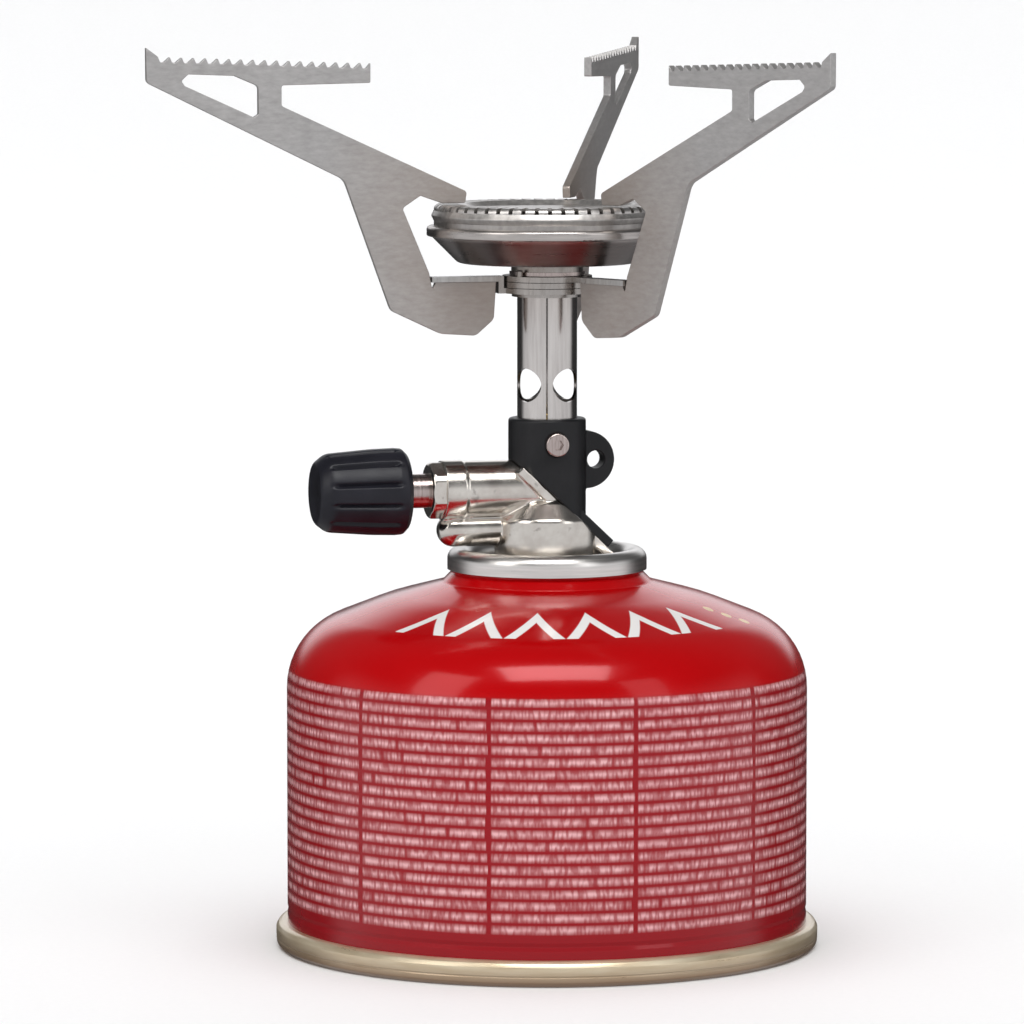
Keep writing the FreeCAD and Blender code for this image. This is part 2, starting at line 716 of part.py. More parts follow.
def ring_clip():
    z = ring_level(2) + ring_t + face_gap
    ring = tube(clip_r, tube_r, clip_t, z)
    gap = Part.makeBox(2 * clip_r, clip_gap, clip_t, Vector(0, -clip_gap / 2, z))
    return ring.cut(spun(gap, clip_gap_azimuth))


# ---- Arms ----
def toothed_edge():
    """Teeth along the bar's top, from its inner end to its tip."""
    points = [bar_inner]
    pitch = (bar_outer[0] - bar_inner[0]) / tooth_count
    climb = (bar_outer[1] - bar_inner[1]) / tooth_count
    for k in range(tooth_count):
        valley_r = bar_inner[0] + (k + tooth_valley_at) * pitch
        valley_h = bar_inner[1] + (k + tooth_valley_at) * climb - tooth_h
        points.append((valley_r, valley_h))
        points.append((valley_r + tooth_valley_w * pitch, valley_h))
        points.append((valley_r + (tooth_valley_w + tooth_flank_w) * pitch, valley_h + tooth_h))
    return points


def arm_outline():
    """Corners of an arm: teeth and tip, outer edge, foot, hook over the burner and strut."""
    outer_edge = [(*arm_tip_low, 1.0), (rim_r + 14.7, 17.2, 2.5), (rim_r + 6.8, -4.6, 1.6)]
    foot = [(rim_r - 1.7, -8.6, 3.0), (arm_inner_r + 3.5, -9.0, 1.5), (arm_inner_r + 0.4, -6.3, 1.5),
            (arm_inner_r, 0), (finger_r - 0.7, 0), (finger_r - 0.2, -1.4, 0.2), (finger_r + 0.35, 1.5, 2.0)]
    hook = [(rim_r + 4.8, hook_h - 0.75, 0.6), (rim_r + 1.7, hook_h + 1.3, 0.4), (rim_r - 2.0, hook_h, 0.5),
            (hook_tip_r + 0.3, hook_h, 0.3), (hook_tip_r, hook_h + 1.9, 0.7)]
    strut = [(45.3, 29.4, 0.6), (45.3, 32.8, 0.4), (bar_inner[0], bar_inner[1] - bar_depth, 0.3)]
    return toothed_edge() + [arm_tip] + outer_edge + foot + hook + strut


def arm_plate(side):
    window = [(62.1, 33.6, 0.4), (60.9, 34.7, 0.3), (53.2, 34.4, 0.6), (49.2, 32.7, 0.9),
              (49.2, 28.1, 0.3), (50.0, 27.6, 0.2), (61.5, 32.8, 0.3)]
    plate = plate_xz(arm_outline(), arm_t).cut(plate_xz(window, arm_t))
    plate.translate(Vector(0, 0, finger_level()))
    return spun(plate, arm_azimuths[side])


# ---- Burner head ----
def burner_collar():
    low = ring_level(2) + ring_t + face_gap + clip_t
    flange_z = pan_z + pan_wall
    return turned([(tube_r, low), (collar_r, low), (collar_r, flange_z), (collar_flange_r, flange_z),
                   (collar_flange_r, flange_z + collar_flange_t, 0.3), (tube_r, flange_z + collar_flange_t)])


def burner_pan():
    outside = [(collar_r, pan_z), (pan_floor_r, pan_z, pan_floor_round), (pan_cone_r, pan_cone_z, 0.4),
               (rim_r, pan_cone_z, 0.25), (rim_r, rim_top_z, rim_round), (cap_r, rim_top_z)]
    return pressed_sheet(outside, pan_wall)


def burner_cap():
    foot_z = pan_cone_z + pan_wall
    top_side = [(cap_r, foot_z), (cap_r, cap_bead_z - 2 * cap_bead), (cap_r + cap_bead, cap_bead_z, 0.3),
                (cap_r, cap_bead_z + 2 * cap_bead), (cap_r, cap_top_z, cap_edge),
                (cap_dish_r + cap_dish_slope, cap_top_z, 0.5), (cap_dish_r, cap_dish_z, 0.5), (0, cap_dish_z)]
    cap = pressed_sheet(top_side, cap_wall)
    port_start = Vector(port_inner_r, -port_w / 2, port_floor_z)
    port = Part.makeBox(cap_r + overrun - port_inner_r, port_w, port_h, port_start)
    ports = [spun(port, 360.0 * (k + 0.5) / port_count) for k in range(port_count)]
    return cap.cut(ports)


def burner_gauze():
    return rod(cap_r - cap_wall, gauze_t, Vector(0, 0, gauze_z))


def flame_spreader():
    disc = rod(spreader_r, spreader_t, Vector(0, 0, spreader_z))
    leg_foot = pan_z + pan_wall
    leg = rod(spreader_leg_r, spreader_z - leg_foot, Vector(spreader_leg_at, 0, leg_foot))
    return disc.fuse([spun(leg, 360.0 * k / spreader_legs) for k in range(spreader_legs)])


def build():
    os.makedirs("parts", exist_ok=True)
    save("canister_shell", canister_shell())
    save("canister_base", canister_base())
    save("valve_cup", valve_cup())
    save("cup_gasket", cup_gasket())
    save("valve_neck", valve_neck())
    save("stem_gasket", stem_gasket())
    save("valve_stem", valve_stem())
    save("valve_insert", valve_insert())
    save("valve_spring", valve_spring())
    save("stove_body", stove_body())
    save("neck_oring", neck_oring())
    save("valve_pin", valve_pin())
    save("inlet_filter", inlet_filter())
    save("jet", jet())
    save("spindle", spindle())
    save("spindle_oring", spindle_oring())
    save("gland_nut", gland_nut())
    save("control_knob", control_knob())
    save("burner_sleeve", burner_sleeve())
    save("clamp_screw", clamp_screw())
    save("burner_tube", burner_tube())
    save("tube_ledge", tube_ledge())
    save("left_ring", swivel_ring(0, "left", tube_r))
    save("back_ring", swivel_ring(1, "back", tube_r + run_gap))
    save("right_ring", swivel_ring(2, "right", tube_r + run_gap))
    save("stop_rivet", stop_rivet())
    save("ring_clip", ring_clip())
    for side in arm_azimuths:
        save(side + "_arm", arm_plate(side))
    save("burner_collar", burner_collar())
    save("burner_pan", burner_pan())
    save("burner_cap", burner_cap())
    save("burner_gauze", burner_gauze())
    save("flame_spreader", flame_spreader())


build()
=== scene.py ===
# %% [markdown]
# # A canister stove, dressed for its portrait
#
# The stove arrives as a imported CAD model: thirty-five pieces on eight bodies, all at their real size in metres.
# This notebook gives those pieces their paint, print, grain and heat marks, and rebuilds the few whose surface
# needs more than the CAD gives: the painted can, the cast body, the moulded parts, the stamped arms.

# %% Load the frame
import math

import bmesh
import bpy
from mathutils import Matrix, Vector


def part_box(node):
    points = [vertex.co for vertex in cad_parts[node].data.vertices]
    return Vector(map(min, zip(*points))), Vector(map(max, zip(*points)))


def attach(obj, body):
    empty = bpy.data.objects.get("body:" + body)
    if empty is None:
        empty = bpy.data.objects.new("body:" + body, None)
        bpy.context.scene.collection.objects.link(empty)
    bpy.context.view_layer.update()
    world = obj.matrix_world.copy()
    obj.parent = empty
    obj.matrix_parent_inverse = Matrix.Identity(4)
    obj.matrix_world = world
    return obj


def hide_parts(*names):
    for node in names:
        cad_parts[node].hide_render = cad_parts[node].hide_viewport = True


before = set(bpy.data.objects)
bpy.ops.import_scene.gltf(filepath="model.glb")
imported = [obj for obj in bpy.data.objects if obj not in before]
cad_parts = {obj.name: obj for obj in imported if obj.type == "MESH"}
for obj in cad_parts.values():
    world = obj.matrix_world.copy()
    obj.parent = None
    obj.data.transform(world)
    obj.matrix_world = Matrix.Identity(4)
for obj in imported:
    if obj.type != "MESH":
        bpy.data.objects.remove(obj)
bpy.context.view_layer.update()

MM = 0.001

# %% [markdown]
# ## The camera
#
# A product photographer stands back with a long lens, so that a small object keeps calm, nearly parallel lines.
# The lens here sits a little over a metre away and slightly above the pot supports, and looks down by five and a
# half degrees. That is what opens the round rims into thin ellipses. The camera comes first because every later
# choice of detail is judged through it.

# %% Place the camera
EYE_DISTANCE = 1.0555
EYE_HEIGHT = 0.1751
EYE_AZIMUTH = math.radians(-14.78)
LOOK_DOWN = math.radians(5.536)
TURN_LEFT = math.radians(0.318)
LENS_MM = 222.8
SENSOR_MM = 36.0

camera_data = bpy.data.cameras.new("long_lens")
camera_data.lens = LENS_MM
camera_data.sensor_width = SENSOR_MM
camera_data.clip_start = 0.05
camera_data.clip_end = 20.0
camera = bpy.data.objects.new("camera", camera_data)
bpy.context.scene.collection.objects.link(camera)
camera.location = (math.sin(EYE_AZIMUTH) * EYE_DISTANCE, -math.cos(EYE_AZIMUTH) * EYE_DISTANCE, EYE_HEIGHT)
camera.rotation_euler = (math.radians(90) - LOOK_DOWN, 0.0, EYE_AZIMUTH + TURN_LEFT)
bpy.context.scene.camera = camera
print("camera at", [round(value, 3) for value in camera.location])

# %% [markdown]
# ## Floor and light
#
# Shiny things show the room more than themselves, so the light is built for its reflections. A sheet of white
# paper curves up behind the stove. Large soft panels stand in front left, front right and overhead, with darker
# air between them, and those darker gaps are what draws the black edges on the burner tube.

# %% Paper sweep
def new_object(name, data):
    """A new object in the scene, made from a mesh or a light."""
    made = bpy.data.objects.new(name, data)
    bpy.context.scene.collection.objects.link(made)
    return made


def paper_sweep(half_width, front, back, bend, height, steps=24):
    """A floor that curves up into a backdrop, seen from the camera's side."""
    profile = [(-front, 0.0), (back - bend, 0.0)]
    for step in range(1, steps + 1):
        turn = math.pi / 2 * step / steps
        profile.append((back - bend + bend * math.sin(turn), bend - bend * math.cos(turn)))
    profile.append((back, height))
    mesh = bmesh.new()
    rows = [[mesh.verts.new((side, y, z)) for y, z in profile] for side in (-half_width, half_width)]
    for k in range(len(profile) - 1):
        face = mesh.faces.new((rows[0][k], rows[1][k], rows[1][k + 1], rows[0][k + 1]))
        face.smooth = True
    data = bpy.data.meshes.new("paper_sweep")
    mesh.to_mesh(data)
    sweep = new_object("paper_sweep", data)
    sweep.rotation_euler = (0, 0, EYE_AZIMUTH)
    return sweep


sweep = paper_sweep(half_width=3.0, front=3.0, back=2.0, bend=0.8, height=3.0)
sweep.visible_glossy = False
print("paper sweep:", len(sweep.data.polygons), "strips")

# %% [markdown]
# ### Soft panels
#
# A softbox is a bright rectangle. Its size sets how soft the shadows are, and its place sets where polished metal
# shows a white band. Each panel is placed by two angles seen from the stove, because that is how one would point at
# it in a studio, and it is then turned to face the stove.

# %% Soft panels
def soft_panel(name, azimuth, elevation, distance, size, power, colour=(1, 1, 1), aim=0.085):
    """A rectangular softbox; azimuth 0 is behind the camera, positive to its right."""
    light = bpy.data.lights.new(name, "AREA")
    light.shape = "RECTANGLE"
    light.size, light.size_y = size
    light.energy = power
    light.color = colour
    panel = new_object(name, light)
    around = EYE_AZIMUTH + math.radians(azimuth)
    up = math.radians(elevation)
    away = Vector((math.sin(around) * math.cos(up), -math.cos(around) * math.cos(up), math.sin(up)))
    panel.location = Vector((0, 0, aim)) + away * distance
    panel.rotation_euler = away.to_track_quat("Z", "Y").to_euler()
    return panel


studio_lamps = [
    soft_panel("key_left", -52, 30, 1.3, (0.5, 0.8), 3.6, (1.0, 0.985, 0.97)),
    soft_panel("fill_right", 48, 24, 1.5, (0.45, 0.9), 2.0, (0.97, 0.985, 1.0)),
    soft_panel("overhead", 6, 58, 1.1, (0.75, 0.45), 8.5),
]
print("soft panels:", len(studio_lamps))

# %% [markdown]
# ### A lamp for the paper
#
# The paper should read as white while the steel keeps its greys. One light level can't do both, so the lamps are
# linked: a wide lamp overhead shines on the paper alone, and the soft panels leave the paper out. The wide lamp
# still throws the stove's soft shadow, which seats the can on the table.

# %% Lamp for the paper
WASH_STRENGTH = 2.85
WASH_WIDTH = math.radians(75)
WASH_TILT = math.radians(12)

wash_light = bpy.data.lights.new("paper_wash", "SUN")
wash_light.energy = WASH_STRENGTH
wash_light.angle = WASH_WIDTH
wash = new_object("paper_wash", wash_light)
wash.rotation_euler = (WASH_TILT, 0, EYE_AZIMUTH)
paper_only = bpy.data.collections.new("paper_only")
paper_only.objects.link(sweep)
wash.light_linking.receiver_collection = paper_only

all_but_paper = bpy.data.collections.new("all_but_paper")
all_but_paper.objects.link(sweep)
all_but_paper.collection_objects[0].light_linking.link_state = "EXCLUDE"
for lamp in studio_lamps:
    lamp.light_linking.receiver_collection = all_but_paper
print("lamps that leave the paper out:", [lamp.name for lamp in studio_lamps])

# %% [markdown]
# ### The air around the stove
#
# The air is what polished metal shows between the lamps. It is light in front, dim above and nearly dark behind, so
# that each round part is drawn with a dark edge against the white paper. A glow is left low in the back, just above
# the horizon, for the flat top of the burner to catch. Each ramp runs over how far forward a direction points, or
# how far up, where 1 is straight ahead or straight up.

# %% Studio air
FRONT_AIR, BACK_AIR, TOP_AIR, FLOOR_AIR = 0.80, 0.04, 0.10, 0.50
BACK_GLOW = 1.3
world = bpy.data.worlds.new("studio_air")
bpy.context.scene.world = world
world.use_nodes = True
air = world.node_tree
directions = air.nodes.new("ShaderNodeTexCoord").outputs["Generated"]
along_view = air.nodes.new("ShaderNodeVectorMath")
along_view.operation = "DOT_PRODUCT"
air.links.new(directions, along_view.inputs[0])
along_view.inputs[1].default_value = (-math.sin(EYE_AZIMUTH), math.cos(EYE_AZIMUTH), 0.0)
forward = along_view.outputs["Value"]
split_direction = air.nodes.new("ShaderNodeSeparateXYZ")
air.links.new(directions, split_direction.inputs[0])
upward = split_direction.outputs["Z"]


def air_ramp(value, low, high, out_low, out_high):
    """A smooth change from out_low to out_high as value goes from low to high."""
    ramp = air.nodes.new("ShaderNodeMapRange")
    ramp.interpolation_type = "SMOOTHSTEP"
    air.links.new(value, ramp.inputs[0])
    for index, number in enumerate((low, high, out_low, out_high), start=1):
        if isinstance(number, bpy.types.NodeSocket):
            air.links.new(number, ramp.inputs[index])
        else:
            ramp.inputs[index].default_value = number
    return ramp.outputs[0]


front_to_back = air_ramp(forward, 0.12, 0.45, FRONT_AIR, BACK_AIR)
and_above = air_ramp(upward, 0.08, 0.55, front_to_back, TOP_AIR)
glow = air_ramp(forward, 0.80, 0.93, and_above, BACK_GLOW)
and_glow = air_ramp(upward, 0.04, 0.16, and_above, glow)
and_floor = air_ramp(upward, -0.25, -0.7, and_glow, FLOOR_AIR)
air.links.new(and_floor, air.nodes["Background"].inputs["Strength"])
air.nodes["Background"].inputs["Color"].default_value = (0.96, 0.97, 1.0, 1)
bpy.context.scene.view_settings.view_transform = "Standard"
bpy.context.scene.view_settings.look = "None"

# %% [markdown]
# ## A small kit for finishes
#
# A finish is a graph of nodes. Writing each one out link by link hides the idea, so this kit wraps a material in a
# helper whose methods return sockets: `finish.noise(...)`, `finish.mix(...)`. Every finish reads the object's own
# coordinates in metres, so a scratch is as long on the arm as it is on the can, and nothing slides when it turns.

# %% The finish kit
class Finish:
    def __init__(self, name, colour, roughness, metallic=0.0, specular=0.5, coat=0.0, coat_roughness=0.08):
        self.material = bpy.data.materials.new(name)
        self.material.use_nodes = True
        self.tree = self.material.node_tree
        self.shader = self.tree.nodes["Principled BSDF"]
        self.shader.inputs["Base Color"].default_value = (*colour, 1)
        self.shader.inputs["Roughness"].default_value = roughness
        self.shader.inputs["Metallic"].default_value = metallic
        self.shader.inputs["Specular IOR Level"].default_value = specular
        self.shader.inputs["Coat Weight"].default_value = coat
        self.shader.inputs["Coat Roughness"].default_value = coat_roughness
        self.place = self.add("ShaderNodeTexCoord").outputs["Object"]

    def add(self, kind):
        """A new node of that kind in this finish's graph."""
        return self.tree.nodes.new(kind)

    def plug(self, socket, value):
        """Links a socket, or types in a number or colour."""
        if isinstance(value, bpy.types.NodeSocket):
            self.tree.links.new(value, socket)
        elif socket.type == "RGBA" and len(value) == 3:
            socket.default_value = (*value, 1)
        else:
            socket.default_value = value

    def calc(self, operation, a, b=0.0, c=None):
        """Any operation of the Math node, by its Blender name."""
        node = self.add("ShaderNodeMath")
        node.operation = operation
        self.plug(node.inputs[0], a)
        self.plug(node.inputs[1], b)
        if c is not None:
            self.plug(node.inputs[2], c)
        return node.outputs[0]

    def plus(self, a, b):
        return self.calc("ADD", a, b)

    def minus(self, a, b):
        return self.calc("SUBTRACT", a, b)

    def times(self, a, b):
        return self.calc("MULTIPLY", a, b)

    def over(self, a, b):
        return self.calc("DIVIDE", a, b)

    def band(self, value, low, high, soft):
        """1 between low and high, falling to 0 over soft on each side."""
        rise = self.remap(value, low - soft, low + soft)
        fall = self.remap(value, high + soft, high - soft)
        return self.times(rise, fall)

    def remap(self, value, low, high, out_low=0.0, out_high=1.0):
        """Carries the range low..high over to out_low..out_high, and holds its ends."""
        node = self.add("ShaderNodeMapRange")
        node.clamp = True
        for index, number in enumerate((value, low, high, out_low, out_high)):
            self.plug(node.inputs[index], number)
        return node.outputs[0]

    def mix(self, share, a, b):
        """Colour a where share is 0 and colour b where it is 1."""
        node = self.add("ShaderNodeMix")
        node.data_type = "RGBA"
        self.plug(node.inputs[0], share)
        self.plug(node.inputs[6], a)
        self.plug(node.inputs[7], b)
        return node.outputs[2]

    def stretch(self, scale, vector=None):
        node = self.add("ShaderNodeMapping")
        self.plug(node.inputs["Vector"], vector or self.place)
        node.inputs["Scale"].default_value = scale
        return node.outputs[0]

    def turn(self, angle):
        """Object coordinates turned about Z, so that x runs along a radial plate."""
        node = self.add("ShaderNodeMapping")
        self.plug(node.inputs["Vector"], self.place)
        node.inputs["Rotation"].default_value = (0, 0, -angle)
        return node.outputs[0]

    def noise(self, vector, scale, detail=3.0, rough=0.55):
        node = self.add("ShaderNodeTexNoise")
        self.plug(node.inputs["Vector"], vector)
        node.inputs["Scale"].default_value = scale
        node.inputs["Detail"].default_value = detail
        node.inputs["Roughness"].default_value = rough
        return node.outputs[0]

    def split(self):
        node = self.add("ShaderNodeSeparateXYZ")
        self.plug(node.inputs[0], self.place)
        return node.outputs

    def join(self, x, y, z):
        node = self.add("ShaderNodeCombineXYZ")
        for socket, value in zip(node.inputs, (x, y, z)):
            self.plug(socket, value)
        return node.outputs[0]

    def far(self, x, y):
        """Distance from zero of the point x, y."""
        return self.calc("SQRT", self.plus(self.times(x, x), self.times(y, y)))

    def cylinder(self):
        """Radius and height in metres, and the angle about Z in turns from 0 to 1."""
        x, y, z = self.split()
        radius = self.far(x, y)
        angle = self.calc("MULTIPLY_ADD", self.calc("ARCTAN2", y, x), 0.5 / math.pi, 0.5)
        return radius, z, angle

    def colour(self, value):
        self.plug(self.shader.inputs["Base Color"], value)

    def roughness(self, value):
        self.plug(self.shader.inputs["Roughness"], value)

    def bump(self, height, depth, strength=1.0):
        """Relief of the given depth in metres."""
        node = self.add("ShaderNodeBump")
        node.inputs["Strength"].default_value = strength
        node.inputs["Distance"].default_value = depth
        self.plug(node.inputs["Height"], height)
        self.plug(self.shader.inputs["Normal"], node.outputs[0])


def wear(object_, finish):
    """Gives a piece its finish in every slot."""
    object_.data.materials.clear()
    object_.data.materials.append(finish.material)


def dress(node, finish):
    """Gives a CAD node its finish, slot by slot, leaving its mesh alone."""
    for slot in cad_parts[node].material_slots:
        slot.material = finish.material


print("finish kit ready")

# %% [markdown]
# ## Turning on a lathe
#
# Most of the cartridge is turned or spun: one outline swept round an axis. The outline is a short list of corners,
# each with a rounding radius, because that is how a toolmaker would give it. Arcs replace the corners first, and
# then the ring of points is repeated round the axis.

# %% Outlines and the lathe
def rounded_outline(corners, closed=True, arc_steps=8):
    """Corners (r, z) or (r, z, radius) in mm, with each radius drawn as short steps."""
    points = []
    count = len(corners)
    for k, corner in enumerate(corners):
        here = Vector(corner[:2])
        radius = corner[2] if len(corner) > 2 else 0.0
        if radius <= 0 or (not closed and k in (0, count - 1)):
            points.append(here)
            continue
        back = (Vector(corners[k - 1][:2]) - here).normalized()
        ahead = (Vector(corners[(k + 1) % count][:2]) - here).normalized()
        half = back.angle(ahead) / 2
        centre = here + (back + ahead).normalized() * (radius / math.sin(half))
        start = here + back * (radius / math.tan(half)) - centre
        end = here + ahead * (radius / math.tan(half)) - centre
        sweep_angle = start.angle_signed(end)
        steps = max(2, round(arc_steps * abs(sweep_angle) / (math.pi / 2)))
        for step in range(steps + 1):
            arm = start.copy()
            arm.rotate(Matrix.Rotation(-sweep_angle * step / steps, 2))
            points.append(centre + arm)
    return points


def sheet_outline(path, wall, arc_steps=8):
    """Outline of bent sheet metal: path is its right-hand side, wall its thickness."""
    lefts = []
    for start, end in zip(path, path[1:]):
        run = (Vector(end[:2]) - Vector(start[:2])).normalized()
        lefts.append(Vector((-run.y, run.x)))
    inside = []
    for k, corner in enumerate(path):
        before, after = lefts[max(k - 1, 0)], lefts[min(k, len(lefts) - 1)]
        shift = (before + after) * (wall / (1 + before.dot(after)))
        radius = corner[2] if len(corner) > 2 else 0.0
        if radius:
            turns_left = before.x * after.y - before.y * after.x > 0
            radius = max(radius - wall if turns_left else radius + wall, 0.05)
        inside.append((corner[0] + shift.x, corner[1] + shift.y, radius))
    outer = rounded_outline(path, closed=False, arc_steps=arc_steps)
    return outer + rounded_outline(inside, closed=False, arc_steps=arc_steps)[::-1]


def finish_mesh(name, mesh, sharp=35.0):
    """Turns a bmesh into a smooth-shaded object with its sharp edges kept."""
    bmesh.ops.remove_doubles(mesh, verts=mesh.verts, dist=1e-7)
    bmesh.ops.recalc_face_normals(mesh, faces=mesh.faces)
    for face in mesh.faces:
        face.smooth = True
    for edge in mesh.edges:
        if len(edge.link_faces) == 2:
            edge.smooth = edge.calc_face_angle(0.0) < math.radians(sharp)
    data = bpy.data.meshes.new(name)
    mesh.to_mesh(data)
    mesh.free()
    return new_object(name, data)


def lathe(name, points, steps=160, sharp=35.0, ripple=None):
    """Sweeps an outline in mm round Z. ripple(angle, r, z) may change a radius."""
    mesh = bmesh.new()
    rings = []
    for step in range(steps):
        angle = 2 * math.pi * step / steps
        ring = []
        for r, z in points:
            radius = ripple(angle, r, z) if ripple else r
            ring.append(mesh.verts.new((radius * MM * math.cos(angle), radius * MM * math.sin(angle), z * MM)))
        rings.append(ring)
    for step in range(steps):
        here, there = rings[step], rings[(step + 1) % steps]
        for k in range(len(points)):
            n = (k + 1) % len(points)
            if points[k][0] < 1e-6 and points[n][0] < 1e-6:
                continue
            corners = [here[k], there[k], there[n], here[n]]
            if points[k][0] < 1e-6:
                corners = [here[k], there[n], here[n]]
            elif points[n][0] < 1e-6:
                corners = [here[k], there[k], here[n]]
            mesh.faces.new(corners)
    made = finish_mesh(name, mesh, sharp)
    print(f"{name}: {len(made.data.polygons)} faces")
    return made


# %% [markdown]
# ## The painted can
#
# The can is drawn steel: a straight wall, a shoulder that turns over with a broad round and then flattens towards
# the neck, and an upright lip that the valve cup is crimped on. It could stay a CAD surface, but a lathe outline
# gives even quads for the label print to sit on. A rolled line shows where wall meets foot.

# %% Shape of the can
can_low, can_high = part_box("canister_shell")
CAN_RADIUS = can_high.x / MM
CAN_FOOT = can_low.z / MM
CAN_TOP = can_high.z / MM
can_path = [
    (CAN_RADIUS, CAN_FOOT),
    (CAN_RADIUS, 5.6, 0.5),
    (CAN_RADIUS - 0.18, 6.3, 0.5),
    (CAN_RADIUS, 7.0, 0.5),
    (CAN_RADIUS, 52.4, 13.0),
    (27.0, 58.9, 40.0),
    (17.6, 61.35, 1.2),
    (16.0, 63.0, 0.8),
    (16.0, CAN_TOP),
]
painted_can = lathe("painted_can", sheet_outline(can_path, 0.5, arc_steps=14), steps=224)
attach(painted_can, "cartridge")
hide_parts("canister_shell")

# %% [markdown]
# ### The print on the wall
#
# A cartridge carries a band of small print in columns round its wall. Real print would be lettering, which has no
# place here, so the print is a texture of broken dashes. The height gives the rows, one noise along each row gives
# words, and a finer one breaks the words into strokes. The angle gives the columns, whose right margin is ragged.
# An image could be wrapped round instead, but a graph stays sharp at any distance and has no join.

# %% Label print
LABEL_LOW, LABEL_HIGH = 0.0081, 0.0467
ROW_PITCH = 0.00195
COLUMN_PITCH = 31.7 / 360.0
COLUMN_START = -148.9 / 360.0
WORDS_PER_METRE = 620.0
STROKES_PER_METRE = 1900.0
SOFT_EDGE = 0.0001


def label_print(paint, height, turn):
    """How much print there is at a place, from 0 to 1, and the colour of the print."""
    around = paint.times(turn, 2 * math.pi * CAN_RADIUS * MM)
    row = paint.over(paint.minus(height, LABEL_LOW), ROW_PITCH)
    row_number = paint.calc("FLOOR", row)
    line = paint.band(paint.calc("FRACT", row), 0.26, 0.74, 0.19)
    waver = paint.noise(paint.stretch((260, 420, 1), paint.join(around, height, 0.0)), 1.0, 3.0)
    line = paint.times(line, paint.remap(waver, 0.36, 0.60, 0.62, 1.0))

    word_place = paint.join(paint.times(around, WORDS_PER_METRE), paint.times(row_number, 7.31), 0.0)
    words = paint.remap(paint.noise(word_place, 1.0, 1.0), 0.28, 0.40, 0.15, 1.0)
    stroke_place = paint.join(paint.times(around, STROKES_PER_METRE), paint.times(height, 500.0), 0.0)
    strokes = paint.remap(paint.noise(stroke_place, 1.0, 0.5), 0.36, 0.60, 0.34, 1.0)
    text = paint.times(paint.times(line, words), strokes)

    column = paint.over(paint.minus(turn, 0.5 + COLUMN_START), COLUMN_PITCH)
    column_number = paint.calc("FLOOR", column)
    in_column = paint.calc("FRACT", paint.plus(column, 40.0))
    ragged = paint.noise(paint.join(paint.times(row_number, 3.7), column_number, 0.0), 1.0, 0.0)
    margin_end = paint.remap(ragged, 0.3, 0.7, 0.970, 0.994)
    column_body = paint.times(paint.remap(in_column, 0.012, 0.022), paint.calc("LESS_THAN", in_column, margin_end))
    band = paint.band(height, LABEL_LOW, LABEL_HIGH, SOFT_EDGE)
    printed = paint.times(paint.times(text, column_body), band)
    column_tone = paint.noise(paint.join(column_number, 0.0, 0.0), 5.3, 0.0)
    return printed, paint.mix(column_tone, (0.76, 0.40, 0.42), (0.82, 0.50, 0.50))


print("label rows:", round((LABEL_HIGH - LABEL_LOW) / ROW_PITCH))

# %% [markdown]
# ### The marks on the shoulder
#
# A maker would put a name on the shoulder. Here a ring of plain white peaks and three gold dots stand in its place.
# A peak is a zigzag: the angle, folded back on itself, gives a roof, and the band just under the roof's line is
# painted. A dot is every place closer to its centre than the dot's radius.

# %% Shoulder marks
MARK_RADII = (0.0268, 0.0355)
MARK_TURN = (-149.5 / 360.0, -50.0 / 360.0)
PEAKS = 6
SHOULDER_START = 0.050
DOT_RADIUS = 0.0009
DOTS = ((0.0295, -40.0), (0.0322, -37.5), (0.0348, -35.0))


def shoulder_peaks(paint, radius, turn):
    mark_turn = paint.remap(turn, 0.5 + MARK_TURN[0], 0.5 + MARK_TURN[1])
    in_peak = paint.calc("FRACT", paint.times(mark_turn, PEAKS))
    from_summit = paint.times(paint.calc("ABSOLUTE", paint.minus(in_peak, 0.5)), 2.0)
    roof = paint.minus(1.0, from_summit)
    rise = paint.remap(radius, MARK_RADII[1], MARK_RADII[0])
    ridge = paint.band(paint.minus(roof, rise), 0.02, 0.40, 0.02)
    in_ring = paint.band(radius, *MARK_RADII, SOFT_EDGE / 2)
    in_row = paint.band(mark_turn, 0.004, 0.996, 0.002)
    return paint.times(ridge, paint.times(in_ring, in_row))


def shoulder_dots(paint):
    x, y, _ = paint.split()
    dots = 0.0
    for radial, degrees in DOTS:
        angle = math.radians(degrees)
        away = paint.far(paint.minus(x, radial * math.cos(angle)), paint.minus(y, radial * math.sin(angle)))
        dot = paint.remap(away, DOT_RADIUS + SOFT_EDGE / 2, DOT_RADIUS - SOFT_EDGE / 2)
        dots = paint.calc("MAXIMUM", dots, dot)
    return dots


print("shoulder marks:", PEAKS, "peaks and", len(DOTS), "dots")

# %% [markdown]
# ### Red enamel
#
# The paint is a deep clear red under a hard gloss. A white reflection over the whole can would turn the red to
# pink, so the reflection of the colour layer is tinted red, and only the thin clear coat over it gives white
# glints. Clouds in the red, smears in the gloss, a faint orange peel and rubbed paint just over the foot keep it
# from looking like one flat colour.

# %% Enamel
RED_GLINT = (1.0, 0.30, 0.33, 1)
RUBBED_HEIGHT = (0.0085, 0.0045)


